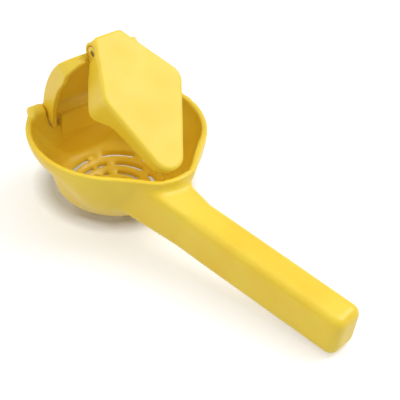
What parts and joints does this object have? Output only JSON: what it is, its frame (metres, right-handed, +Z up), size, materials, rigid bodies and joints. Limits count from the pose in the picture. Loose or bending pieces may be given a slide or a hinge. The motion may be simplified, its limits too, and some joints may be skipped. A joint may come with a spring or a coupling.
{
  "type": "lemon squeezer",
  "caption": "Folding lemon squeezer with a round slotted bowl on a long handle, a rear link flap and a press lid hinged on top of the flap, standing open",
  "frame": {"origin": "on the table under the centre of the round bowl", "axes": "+Z up, +X from the rear hinge over the nose of the bowl, +Y to the far side; both hinge axes run along Y"},
  "size_m": [0.1917, 0.086, 0.0905],
  "materials": {
    "bowl_plastic": "satin injection moulded yellow plastic",
    "flap_plastic": "satin injection moulded yellow plastic",
    "lid_plastic": "satin injection moulded yellow plastic",
    "bush_plastic": "satin injection moulded yellow plastic",
    "pin_steel": "plain stainless steel wire, cut ends"
  },
  "bodies": {
    "bowl": {"bowl_body": "bowl_plastic"},
    "flap": {"link_flap": "flap_plastic", "rear_pins": "pin_steel"},
    "lid": {"press_lid": "lid_plastic", "lid_pins": "pin_steel", "lid_bushes": "bush_plastic"}
  },
  "joints": [
    {"name": "flap_hinge", "type": "hinge", "parent": "bowl", "child": "flap", "pos_m": [-0.03, 0, 0.0425], "axis": [0, -1, 0], "range_deg": [0, 30]},
    {"name": "lid_hinge", "type": "hinge", "parent": "flap", "child": "lid", "pos_m": [-0.0065, 0, 0.083], "axis": [0, -1, 0], "range_deg": [0, 80]}
  ]
}
